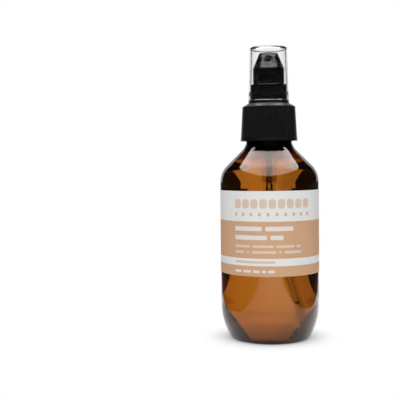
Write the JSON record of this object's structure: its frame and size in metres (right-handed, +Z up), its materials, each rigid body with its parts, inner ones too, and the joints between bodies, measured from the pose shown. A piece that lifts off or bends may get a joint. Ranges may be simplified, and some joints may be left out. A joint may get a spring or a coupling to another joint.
{
  "type": "pump oil bottle",
  "caption": "Amber plastic oil bottle with a sloping shoulder and wrap label, screw-on treatment pump with a black actuator, dip tube and clear push-on overcap.",
  "frame": {"origin": "centre of the bottle's base, in the plane of its foot", "axes": "+Z up along the bottle's axis, -Y towards the front, where the nozzle points; the dip tube bends towards +X"},
  "size_m": [0.0486, 0.0485, 0.1429],
  "materials": {
    "amber_pet": "clear amber, gloss",
    "label_film": "printed film, satin",
    "foam_liner": "white foam",
    "natural_plastic": "natural, undyed",
    "soft_plastic": "soft, natural",
    "black_plastic": "gloss black",
    "clear_tube": "translucent natural",
    "clear_plastic": "clear, gloss",
    "steel": "bright stainless"
  },
  "bodies": {
    "bottle_body": {"bottle": "amber_pet", "wrap_label": "label_film"},
    "pump_body": {"pump_housing": "natural_plastic", "collar": "black_plastic", "neck_gasket": "foam_liner", "gland": "natural_plastic", "dip_tube": "clear_tube", "return_spring": "steel"},
    "closure_body": {"closure": "black_plastic"},
    "overcap_body": {"overcap": "clear_plastic"},
    "plunger_body": {"stem": "natural_plastic", "piston_rod": "natural_plastic"},
    "actuator_body": {"actuator": "black_plastic", "nozzle_insert": "black_plastic"},
    "piston_body": {"piston_seal": "soft_plastic"},
    "ball_body": {"inlet_ball": "steel"}
  },
  "joints": [
    {"name": "pump_rise", "type": "slide", "parent": "bottle_body", "child": "pump_body", "axis": [0, 0, 1], "range_m": [0, 0.0048]},
    {"name": "closure_unscrew", "type": "hinge", "parent": "pump_body", "child": "closure_body", "pos_m": [0, 0, 0.106], "axis": [0, 0, 1], "range_deg": [0, 540]},
    {"name": "overcap_lift", "type": "slide", "parent": "pump_body", "child": "overcap_body", "axis": [0, 0, 1], "range_m": [0, 0.03]},
    {"name": "actuator_press", "type": "slide", "parent": "pump_body", "child": "plunger_body", "axis": [0, 0, -1], "range_m": [0, 0.005], "stiffness_N_per_m": 1000, "springref_m": -0.008, "deforming": ["return_spring"]},
    {"name": "actuator_swivel", "type": "hinge", "parent": "plunger_body", "child": "actuator_body", "pos_m": [0, 0, 0.128], "axis": [0, 0, 1], "continuous": true},
    {"name": "piston_slide", "type": "slide", "parent": "plunger_body", "child": "piston_body", "axis": [0, 0, 1], "range_m": [0, 0.0008]},
    {"name": "inlet_ball_lift", "type": "slide", "parent": "pump_body", "child": "ball_body", "axis": [0, 0, 1], "range_m": [0, 0.0009]}
  ],
  "couplings": [
    {"joint": "pump_rise", "follows": "closure_unscrew", "m_per_rad": 0.00050532}
  ]
}
